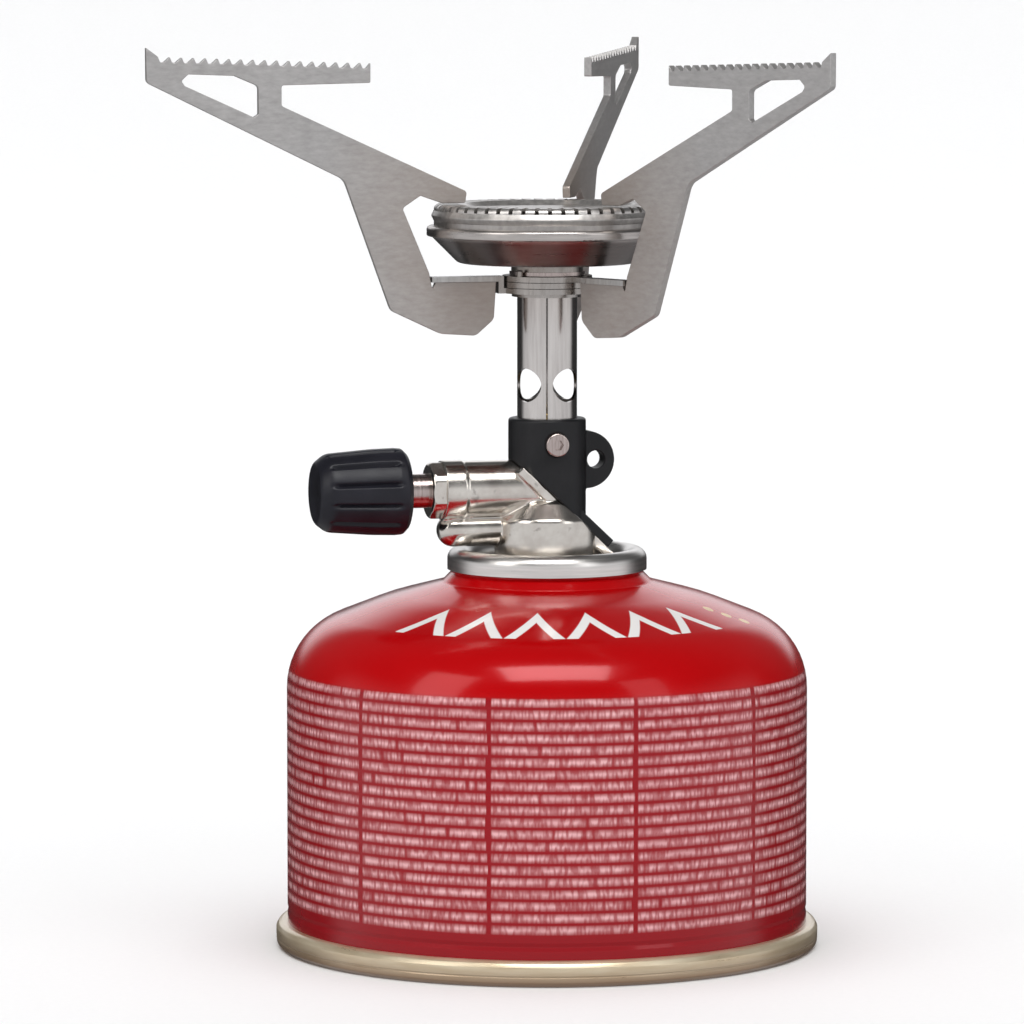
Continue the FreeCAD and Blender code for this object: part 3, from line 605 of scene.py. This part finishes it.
def red_enamel():
    paint = Finish("red_enamel", (0.5, 0.003, 0.006), 0.3, specular=0.4, coat=0.3, coat_roughness=0.10)
    paint.shader.inputs["Specular Tint"].default_value = RED_GLINT
    radius, height, turn = paint.cylinder()
    printed, print_white = label_print(paint, height, turn)
    on_shoulder = paint.calc("GREATER_THAN", height, SHOULDER_START)
    mark = paint.times(shoulder_peaks(paint, radius, turn), on_shoulder)
    dots = paint.times(shoulder_dots(paint), on_shoulder)

    cloud = paint.noise(paint.place, 46.0, 4.0)
    red = paint.mix(cloud, (0.40, 0.0005, 0.001), (0.48, 0.001, 0.003))
    label_ground = paint.remap(height, LABEL_HIGH + 0.0004, LABEL_HIGH - 0.0004)
    red = paint.mix(label_ground, red, (0.27, 0.004, 0.008))
    red = paint.mix(printed, red, print_white)
    red = paint.mix(mark, red, (0.86, 0.84, 0.82))
    red = paint.mix(dots, red, (0.62, 0.42, 0.16))
    rub = paint.remap(paint.noise(paint.place, 160.0, 6.0), 0.70, 0.78)
    rub = paint.times(rub, paint.remap(height, *RUBBED_HEIGHT))
    paint.colour(paint.mix(paint.times(rub, 0.5), red, (0.30, 0.24, 0.22)))

    smear = paint.noise(paint.stretch((60, 60, 14)), 1.0, 5.0)
    gloss = paint.remap(smear, 0.3, 0.75, 0.16, 0.26)
    paint.roughness(paint.plus(gloss, paint.times(printed, 0.10)))
    orange_peel = paint.noise(paint.place, 420.0, 2.0)
    ink_relief = paint.times(paint.plus(printed, mark), 0.35)
    paint.bump(paint.plus(orange_peel, ink_relief), 0.00002, 0.35)
    return paint


wear(painted_can, red_enamel())
print("the can wears", painted_can.data.materials[0].name)

# %% [markdown]
# ## The tinplate foot
#
# The foot is a disc whose rim is folded together with the can's wall into a rolled seam, and whose middle is
# dished upwards so that the pressure cannot push it out and make the cartridge rock. Bare tinplate with a thin
# gold lacquer gives the cream colour. A lathe outline again, with the fold's line cut into the ring.

# %% Shape of the foot
_, foot_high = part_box("canister_base")
SEAM_RADIUS = foot_high.x / MM
SEAM_TOP = 4.2
foot_corners = [
    (42.4, 3.4, 0.9), (26.0, 6.6, 90.0), (0.0, 8.6), (0.0, 9.3), (26.0, 7.3, 90.0), (43.1, 4.1, 0.5),
    (43.1, 1.2), (43.6, 1.2), (43.6, SEAM_TOP), (44.5, SEAM_TOP, 0.35), (45.1, 3.9, 0.5),
    (SEAM_RADIUS, 3.2, 0.4), (SEAM_RADIUS, 1.9, 0.2), (SEAM_RADIUS - 0.12, 1.7, 0.2), (SEAM_RADIUS, 1.5, 0.2),
    (SEAM_RADIUS - 0.1, 0.7, 0.5), (44.6, 0.0, 0.6), (42.4, 0.0, 0.8),
]
seamed_foot = lathe("seamed_foot", rounded_outline(foot_corners, arc_steps=8), steps=224)
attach(seamed_foot, "cartridge")
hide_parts("canister_base")

# %% [markdown]
# ### Gold tinplate
#
# Tinplate is soft to look at: rolling leaves faint lines round the seam, and the gold lacquer is uneven. The fold's
# underside is painted darker and browner as painted shade, low on the ring where it turns down to the floor.
# A metal under a thin clear coat gives the lacquer.

# %% Tinplate
def gold_tinplate():
    tin = Finish("gold_tinplate", (0.72, 0.66, 0.46), 0.3, metallic=0.55, coat=0.35, coat_roughness=0.12)
    _, height, turn = tin.cylinder()
    roll = tin.noise(tin.join(tin.times(turn, 30.0), tin.times(height, 900.0), 0.0), 1.0, 4.0)
    patina = tin.noise(tin.place, 60.0, 5.0)
    tone = tin.mix(tin.remap(roll, 0.3, 0.7), (0.62, 0.50, 0.33), (0.76, 0.66, 0.48))
    tone = tin.mix(tin.remap(patina, 0.62, 0.8, 0.0, 0.35), tone, (0.34, 0.27, 0.17))
    # Painted shade: the ring's tinplate turns dark brown towards its bottom edge, standing in for shade under the
    # seam.
    underside_shade = tin.remap(height, 0.0034, 0.0006)
    tin.colour(tin.mix(tin.times(underside_shade, 0.9), tone, (0.26, 0.15, 0.085)))
    tin.roughness(tin.remap(roll, 0.2, 0.8, 0.24, 0.42))
    tin.bump(roll, 0.00003, 0.3)
    return tin


wear(seamed_foot, gold_tinplate())
print("the foot wears", seamed_foot.data.materials[0].name)

# %% [markdown]
# ## Metal finishes
#
# The stove mixes four metals: satin tinplate on the valve cup, nickel on the cast body, turned steel on small
# parts and stamped stainless on arms and burner. Their differences are in tone, in how sharp the reflection is
# and above all in the direction of the fine scratches, so one recipe makes them all with the grain as a choice:
# round the axis for turned work, along the length for plate.

# %% [markdown]
# ### What heat and hands leave
#
# Metal near a flame goes tan, a burner's bowl burns nearly black, and dirt settles in specks. Each of these marks is
# a function that takes the tone so far and gives it back with the mark added, so that a finish can pick the ones
# it needs.

# %% Marks of use on metal
HEAT_TAN = (0.30, 0.21, 0.15)
BURNT_BROWN = (0.085, 0.066, 0.060)
GRIME_BROWN = (0.09, 0.08, 0.07)


def heat_marks(steel, tone, broad, centre, reach):
    """A tan bloom round the flame: full within reach[0] metres of centre, gone at reach[1]."""
    away = steel.add("ShaderNodeVectorMath")
    away.operation = "DISTANCE"
    steel.plug(away.inputs[0], steel.place)
    away.inputs[1].default_value = centre
    near = steel.remap(away.outputs["Value"], reach[1], reach[0])
    near = steel.times(near, steel.remap(broad, 0.3, 0.7, 0.55, 1.0))
    return steel.mix(steel.times(near, 0.55), tone, HEAT_TAN)


def scorch_marks(steel, tone, broad, low, high, depth):
    """Burnt metal under the height low, fading out at the height high."""
    _, _, height = steel.split()
    burnt = steel.times(steel.remap(height, high, low), steel.remap(broad, 0.2, 0.6, 0.75, 1.0))
    return steel.mix(steel.times(burnt, depth), tone, BURNT_BROWN)


def grime_marks(steel, tone, fineness):
    """Specks of dirt, smaller as fineness grows."""
    specks = steel.remap(steel.noise(steel.place, fineness, 6.0), 0.60, 0.72, 0.0, 0.5)
    return steel.mix(specks, tone, GRIME_BROWN)


print("marks of use: heat, scorch, grime")

# %% [markdown]
# ### One recipe for every metal
#
# The scratches are one noise, stretched along the grain. It mixes a dark and a light tone, roughens the gloss and
# gives a relief of about a hundredth of a millimetre, so that tone, gloss and relief all follow the same lines.

# %% A recipe for brushed and turned metal
def metal(name, dark, light, gloss, grain, grain_depth=0.000012, angle=0.0, heat=None, stain=0.25, grime=None,
          scorch=None, metallic=1.0):
    """Metal whose scratches are long along the axes with a small number in grain, and fine along the others."""
    steel = Finish(name, light, gloss[0], metallic=metallic)
    vector = steel.turn(angle) if angle else steel.place
    fine = steel.noise(steel.stretch(grain, vector), 1.0, 3.0, 0.65)
    broad = steel.noise(steel.place, 70.0, 4.0)
    tone = steel.mix(steel.remap(fine, 0.28, 0.72), dark, light)
    blotch = steel.remap(broad, 0.5, 0.78, 0.0, stain)
    tone = steel.mix(blotch, tone, tuple(0.62 * value for value in dark))
    if heat:
        tone = heat_marks(steel, tone, broad, *heat)
    if scorch:
        tone = scorch_marks(steel, tone, broad, *scorch)
    if grime:
        tone = grime_marks(steel, tone, grime)
    steel.colour(tone)
    steel.roughness(steel.remap(steel.plus(fine, steel.times(broad, 0.5)), 0.45, 1.05, *gloss))
    steel.bump(fine, grain_depth, 0.5)
    return steel


cup_steel = metal("satin_cup_steel", (0.66, 0.64, 0.61), (0.86, 0.83, 0.80), (0.26, 0.38), (90, 90, 2600))
nickel = metal("nickel_casting", (0.62, 0.57, 0.52), (0.80, 0.76, 0.70), (0.12, 0.24), (240, 240, 240), 0.00002,
               stain=0.18, grime=520.0)
turned_steel = metal("turned_steel", (0.40, 0.33, 0.31), (0.60, 0.51, 0.48), (0.16, 0.30), (3200, 120, 120))
tube_steel = metal("tube_stainless", (0.48, 0.45, 0.43), (0.74, 0.70, 0.67), (0.14, 0.28), (500, 500, 40),
                   heat=((0, 0, 0.120), (0.004, 0.018)))
ring_steel = metal("ring_stainless", (0.34, 0.33, 0.32), (0.60, 0.59, 0.57), (0.22, 0.36), (700, 700, 120),
                   heat=((0, 0, 0.120), (0.006, 0.022)))
pan_steel = metal("pan_stainless", (0.42, 0.39, 0.37), (0.60, 0.56, 0.53), (0.24, 0.36), (160, 160, 1800),
                  stain=0.35, scorch=(0.1185, 0.1193, 0.80))
cap_steel = metal("cap_stainless", (0.48, 0.46, 0.44), (0.72, 0.69, 0.66), (0.28, 0.42), (900, 900, 500),
                  stain=0.4, grime=240.0, metallic=0.9, scorch=(0.1222, 0.1232, 0.45))
jet_brass = metal("jet_brass", (0.48, 0.33, 0.13), (0.74, 0.56, 0.28), (0.18, 0.3), (900, 900, 900))
METALS = (cup_steel, nickel, turned_steel, tube_steel, ring_steel, pan_steel, cap_steel, jet_brass)
print("metal finishes:", [finish.material.name for finish in METALS])

# %% [markdown]
# ### Dressing the turned and pressed pieces
#
# These pieces keep the CAD surface as it is, because they are simple turnings and pressings. Only their finish is
# set, in the slots that the CAD model gives them.

# %% Dress the turned and pressed pieces
WORN_BY = {
    "valve_cup": cup_steel,
    "clamp_screw": turned_steel, "valve_pin": turned_steel, "ring_clip": turned_steel,
    "valve_spring": turned_steel, "spindle": turned_steel,
    "jet": jet_brass, "inlet_filter": jet_brass,
    "burner_tube": tube_steel,
    "tube_ledge": ring_steel, "left_ring": ring_steel, "back_ring": ring_steel,
    "right_ring": ring_steel, "stop_rivet": ring_steel, "burner_collar": ring_steel,
    "burner_pan": pan_steel,
    "burner_cap": cap_steel, "burner_gauze": cap_steel, "flame_spreader": cap_steel,
}
for node, finish in WORN_BY.items():
    dress(node, finish)
print("pieces dressed in metal:", len(WORN_BY))

# %% [markdown]
# ## The thread on the cartridge's neck
#
# The CAD neck is a plain cylinder, because its thread is stood for by a coupled turn and lift. When the stove is
# unscrewed the neck shows, so it gets a real thread here: a grid of points whose radius follows a saw-tooth that
# climbs one pitch for each turn.

# %% Threaded neck
THREAD_PITCH = 0.907
THREAD_DEPTH = 0.5
PLAIN_FOOT = 2.2
PLAIN_TIP = 0.7
MOUTH_RADIUS = 2.2
MOUTH_DEPTH = 1.2
BORE_RADIUS = 4.3
THREAD_STEPS = 220

neck_low, neck_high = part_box("valve_neck")
NECK_RADIUS = neck_high.x / MM
NECK_FOOT = neck_low.z / MM
NECK_TOP = neck_high.z / MM
THREAD_START = NECK_FOOT + PLAIN_FOOT
THREAD_END = NECK_TOP - PLAIN_TIP


def neck_outline():
    """The neck's half section: a straight side in fine steps, a chamfered tip and the bore."""
    side = [(NECK_RADIUS, THREAD_START + (THREAD_END - THREAD_START) * k / THREAD_STEPS) for k in range(THREAD_STEPS)]
    tip = [(NECK_RADIUS - 0.25, NECK_TOP - 0.45), (NECK_RADIUS - 0.6, NECK_TOP)]
    mouth = [(MOUTH_RADIUS, NECK_TOP), (MOUTH_RADIUS, NECK_TOP - MOUTH_DEPTH)]
    bore = [(BORE_RADIUS, NECK_TOP - MOUTH_DEPTH), (BORE_RADIUS, NECK_FOOT)]
    return [(NECK_RADIUS, NECK_FOOT)] + side + tip + mouth + bore


def thread_groove(angle, r, z):
    """The radius with the thread cut in, one pitch higher for each turn."""
    if r < NECK_RADIUS - 1e-6 or z < THREAD_START or z > THREAD_END:
        return r
    climb = (z / THREAD_PITCH - angle / (2 * math.pi)) % 1.0
    return r - THREAD_DEPTH * abs(2 * climb - 1)


neck = lathe("threaded_neck", neck_outline(), steps=120, sharp=60.0, ripple=thread_groove)
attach(neck, "cartridge")
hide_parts("valve_neck")
wear(neck, cup_steel)

# %% [markdown]
# ## Cast and moulded parts
#
# A casting has no knife edges: metal shrinks and the mould is rounded, so every inside corner has a fillet and
# every edge a small round. The quickest true way to that skin is to copy the CAD part, rebuild its surface as an
# even grid of small faces, and relax that grid for a few passes. The same steps with a finer grid make the
# moulded plastic sleeve.

# %% Soft-edged copies
def soft_copy(node, name, grid_mm, relax, body, finish):
    """A rounded copy of a CAD node: copied, re-gridded, relaxed, and put in its place."""
    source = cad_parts[node]
    copy = new_object(name, source.data.copy())
    copy.matrix_world = source.matrix_world.copy()
    regrid = copy.modifiers.new("regrid", "REMESH")
    regrid.mode = "VOXEL"
    regrid.voxel_size = grid_mm * MM
    regrid.use_smooth_shade = True
    smooth = copy.modifiers.new("relax", "SMOOTH")
    smooth.factor = 0.5
    smooth.iterations = relax
    graph = bpy.context.evaluated_depsgraph_get()
    rebuilt = bpy.data.meshes.new_from_object(copy.evaluated_get(graph))
    copy.modifiers.clear()
    copy.data = rebuilt
    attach(copy, body)
    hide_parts(node)
    wear(copy, finish)
    print(f"{name}: {len(rebuilt.vertices)} points")


soft_copy("stove_body", "cast_body", 0.16, 5, "stove", nickel)

# %% [markdown]
# ### Black plastic
#
# Moulded nylon is never quite black or quite smooth. A fine spark-eroded texture breaks the highlight, and the
# tone and the gloss drift a little where hands have polished it.

# %% Moulded black
def moulded_black(name, tint, gloss):
    """Black nylon: a fine moulded grain, and a tone that drifts where hands have rubbed it."""
    nylon = Finish(name, tint, gloss[0], specular=0.3)
    spark = nylon.noise(nylon.place, 5200.0, 2.0)
    drift = nylon.noise(nylon.place, 180.0, 4.0)
    lift = nylon.mix(nylon.remap(drift, 0.3, 0.75), tint, tuple(1.7 * v + 0.003 for v in tint))
    nylon.colour(lift)
    nylon.roughness(nylon.remap(drift, 0.3, 0.7, *gloss))
    nylon.bump(spark, 0.00003, 0.35)
    return nylon


sleeve_black = moulded_black("sleeve_nylon", (0.006, 0.006, 0.007), (0.36, 0.5))
knob_black = moulded_black("knob_nylon", (0.006, 0.006, 0.010), (0.34, 0.48))
soft_copy("burner_sleeve", "moulded_sleeve", 0.13, 3, "stove", sleeve_black)

# %% [markdown]
# ### The ribbed knob
#
# The knob is a moulding that swells towards the valve and is rounded off at its free end. Broad flat ribs with
# narrow grooves between them give the fingers a hold, and stop short of both ends. It is a lathe shape whose
# radius dips in a groove at each rib's edge, turned to lie along the barrel.

# %% Knob
knob_low, knob_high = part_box("control_knob")
KNOB_LENGTH = (knob_high.x - knob_low.x) / MM
KNOB_RADIUS = (knob_high.z - knob_low.z) / MM / 2
BARREL_HEIGHT = (knob_high.z + knob_low.z) / 2
KNOB_RIBS = 12
GROOVE_DEPTH = 0.62
GROOVE_HALF_WIDTH = 0.17
SPINDLE_HOLE = (2.85, 9.0)
STEP_ALONG = 0.45


def knob_profile():
    """Radius along the knob from its valve end to its free end, in mm, closed round the spindle's hole."""
    corners = [
        SPINDLE_HOLE, (SPINDLE_HOLE[0], 0.0), (KNOB_RADIUS - 0.9, 0.0, 0.3), (KNOB_RADIUS - 0.1, 0.8, 0.5),
        (KNOB_RADIUS, 2.0, 0.6), (KNOB_RADIUS - 0.12, 6.0, 20.0), (KNOB_RADIUS - 0.72, KNOB_LENGTH - 1.9, 2.6),
        (KNOB_RADIUS - 2.2, KNOB_LENGTH, 1.3), (0.0, KNOB_LENGTH), (0.0, SPINDLE_HOLE[1]),
    ]
    dense = []
    points = rounded_outline(corners, arc_steps=10)
    for here, there in zip(points, points[1:] + points[:1]):
        steps = max(1, round((there - here).length / STEP_ALONG))
        dense += [here.lerp(there, k / steps) for k in range(steps)]
    return dense


def ease(share):
    """0 to 1 with a soft start and a soft end."""
    share = min(max(share, 0.0), 1.0)
    return share * share * (3 - 2 * share)


def knob_groove(angle, r, z):
    """The radius with the finger grooves cut in, fading out towards both ends."""
    if r < KNOB_RADIUS - 2.4:
        return r
    along = min(max((z - 1.7) / 0.9, 0.0), 1.0) * min(max((KNOB_LENGTH - 1.5 - z) / 1.6, 0.0), 1.0)
    in_rib = (angle / (2 * math.pi) * KNOB_RIBS) % 1.0
    groove = 1.0 - abs(in_rib - 0.5) / GROOVE_HALF_WIDTH
    return r - GROOVE_DEPTH * ease(groove) * ease(along)


knob = lathe("ribbed_knob", knob_profile(), steps=288, sharp=50.0, ripple=knob_groove)
knob.data.transform(Matrix.Translation((knob_high.x, 0, BARREL_HEIGHT)) @ Matrix.Rotation(-math.pi / 2, 4, "Y"))
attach(knob, "knob")
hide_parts("control_knob")
wear(knob, knob_black)

# %% [markdown]
# ## The stamped arms
#
# Each arm is punched from sheet about a millimetre thick and tumbled, so its edges are softly broken. A bevel on
# every hard edge of a copy gives that: the mesh is first cleaned to large flat faces, and then only edges
# sharper than thirty degrees are cut back. The grain runs along each arm, so each has its own finish turned to
# its own direction.

# %% Bevelled copies
HARD_EDGE = math.radians(30)


def bevelled_copy(node, name, width_mm, body, finish):
    """A copy of a CAD node with its hard edges broken by a small round."""
    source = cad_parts[node]
    mesh = bmesh.new()
    mesh.from_mesh(source.data)
    bmesh.ops.remove_doubles(mesh, verts=mesh.verts, dist=2e-6)
    bmesh.ops.dissolve_limit(mesh, angle_limit=math.radians(1.0), verts=mesh.verts, edges=mesh.edges)
    hard = [edge for edge in mesh.edges
            if len(edge.link_faces) == 2 and edge.calc_face_angle(0.0) > HARD_EDGE]
    bmesh.ops.bevel(mesh, geom=hard, offset=width_mm * MM, offset_type="OFFSET", segments=2,
                    profile=0.5, affect="EDGES", clamp_overlap=True)
    made = finish_mesh(name, mesh, sharp=60.0)
    lean = made.modifiers.new("lean_on_big_faces", "WEIGHTED_NORMAL")
    lean.weight = 100
    lean.keep_sharp = True
    graph = bpy.context.evaluated_depsgraph_get()
    leaned = bpy.data.meshes.new_from_object(made.evaluated_get(graph))
    made.modifiers.clear()
    made.data = leaned
    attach(made, body)
    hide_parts(node)
    wear(made, finish)
    print(f"{name}: {len(hard)} edges broken, {len(made.data.polygons)} faces")


ARM_DIRECTIONS = {"left": 180.0, "back": 62.0, "right": -63.0}
ARM_BODIES = {"left": "stove", "back": "back_support", "right": "right_support"}
for side, degrees in ARM_DIRECTIONS.items():
    plate_steel = metal(f"{side}_arm_stainless", (0.35, 0.338, 0.332), (0.46, 0.448, 0.440), (0.34, 0.46),
                        (500, 1800, 1400), 0.000012, angle=math.radians(degrees),
                        heat=((0, 0, 0.122), (0.016, 0.040)), stain=0.18, metallic=0.6)
    bevelled_copy(f"{side}_arm", f"stamped_{side}_arm", 0.14, ARM_BODIES[side], plate_steel)

bevelled_copy("gland_nut", "turned_gland_nut", 0.18, "stove", nickel)

# %% [markdown]
# ## Rubber and plastic inside
#
# The seals and the valve's plastic parts are hidden while the stove is screwed down, but they show in a cutaway
# and when the stove is lifted, so they get plain honest finishes with a moulded grain.

# %% Seals and valve plastic
def seal_rubber():
    rubber = Finish("seal_rubber", (0.018, 0.018, 0.018), 0.5, specular=0.4)
    bloom = rubber.noise(rubber.place, 700.0, 4.0)
    rubber.colour(rubber.mix(rubber.remap(bloom, 0.4, 0.8), (0.014, 0.014, 0.014), (0.045, 0.044, 0.042)))
    rubber.roughness(rubber.remap(bloom, 0.3, 0.7, 0.42, 0.62))
    rubber.bump(bloom, 0.00003, 0.3)
    return rubber


def valve_plastic():
    acetal = Finish("valve_acetal", (0.78, 0.78, 0.75), 0.4)
    flow = acetal.noise(acetal.stretch((300, 300, 90)), 1.0, 3.0)
    acetal.colour(acetal.mix(flow, (0.70, 0.69, 0.65), (0.84, 0.84, 0.82)))
    acetal.roughness(acetal.remap(flow, 0.3, 0.7, 0.34, 0.5))
    acetal.bump(flow, 0.00002, 0.25)
    return acetal


SEALS = ("neck_oring", "spindle_oring", "cup_gasket", "stem_gasket")
PLASTIC_PARTS = ("valve_stem", "valve_insert")
rubber = seal_rubber()
for node in SEALS:
    dress(node, rubber)
acetal = valve_plastic()
for node in PLASTIC_PARTS:
    dress(node, acetal)
print("seals:", len(SEALS), "and plastic valve parts:", len(PLASTIC_PARTS))

# %% [markdown]
# ## The paper's own surface
#
# Studio paper is matt and very slightly fibrous. A plain white would do, but the fibre keeps the floor from looking
# like a flat screen when the camera comes close.

# %% Paper white
def paper_white():
    paper = Finish("studio_paper", (0.9, 0.9, 0.9), 0.8, specular=0.2)
    fibre = paper.noise(paper.place, 900.0, 3.0)
    paper.colour(paper.mix(fibre, (0.86, 0.86, 0.86), (0.90, 0.90, 0.90)))
    paper.bump(fibre, 0.00002, 0.2)
    return paper


wear(sweep, paper_white())
print("the floor wears", sweep.data.materials[0].name)
